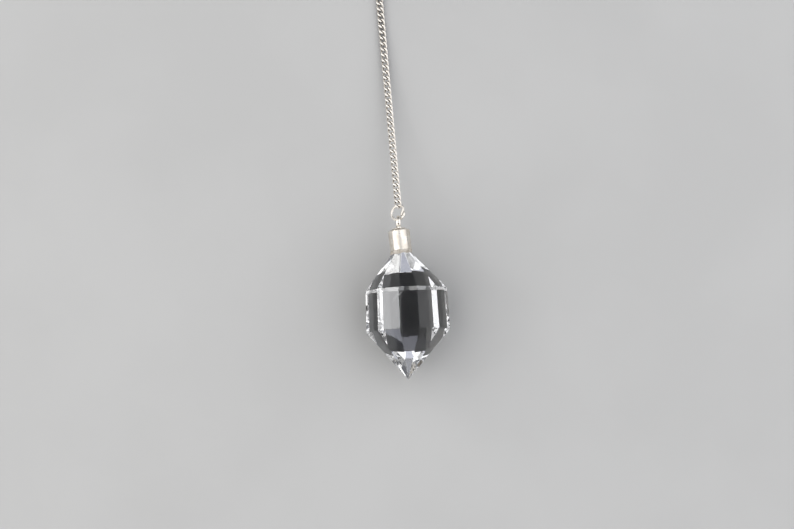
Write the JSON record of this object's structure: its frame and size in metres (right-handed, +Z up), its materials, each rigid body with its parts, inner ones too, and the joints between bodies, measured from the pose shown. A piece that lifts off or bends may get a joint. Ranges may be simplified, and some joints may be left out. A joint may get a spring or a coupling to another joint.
{
  "type": "pendulum pendant",
  "caption": "Faceted clear quartz pendulum with a long point, a turned silver cap and eyelet, a jump ring and a curb chain with an end ring, lying down.",
  "frame": {"origin": "on the surface that the pendulum lies on, under the middle of its length and width", "axes": "+Y along the pendulum from the stone's point to the chain's end ring, +Z up from the surface"},
  "size_m": [0.02, 0.1038, 0.0201],
  "materials": {
    "quartz": "clear rock crystal, polished flat facets, a fine crack inside",
    "silver": "satin silver with fine scratches and a little tarnish in the corners",
    "cement": "dull beige cement, slightly grainy"
  },
  "bodies": {
    "root": {"quartz_stone": "quartz", "cement": "cement", "cap": "silver", "jump_ring": "silver", "chain_link_01": "silver", "chain_link_02": "silver", "chain_link_03": "silver", "chain_link_04": "silver", "chain_link_05": "silver", "chain_link_06": "silver", "chain_link_07": "silver", "chain_link_08": "silver", "chain_link_09": "silver", "chain_link_10": "silver", "chain_link_11": "silver", "chain_link_12": "silver", "chain_link_13": "silver", "chain_link_14": "silver", "chain_link_15": "silver", "chain_link_16": "silver", "chain_link_17": "silver", "chain_link_18": "silver", "chain_link_19": "silver", "chain_link_20": "silver", "chain_link_21": "silver", "chain_link_22": "silver", "chain_link_23": "silver", "chain_link_24": "silver", "chain_link_25": "silver", "chain_link_26": "silver", "chain_link_27": "silver", "chain_link_28": "silver", "chain_link_29": "silver", "chain_link_30": "silver", "chain_link_31": "silver", "chain_link_32": "silver", "chain_link_33": "silver", "chain_link_34": "silver", "chain_link_35": "silver", "chain_link_36": "silver", "chain_link_37": "silver", "chain_link_38": "silver", "chain_link_39": "silver", "chain_link_40": "silver", "end_ring": "silver"}
  },
  "joints": []
}
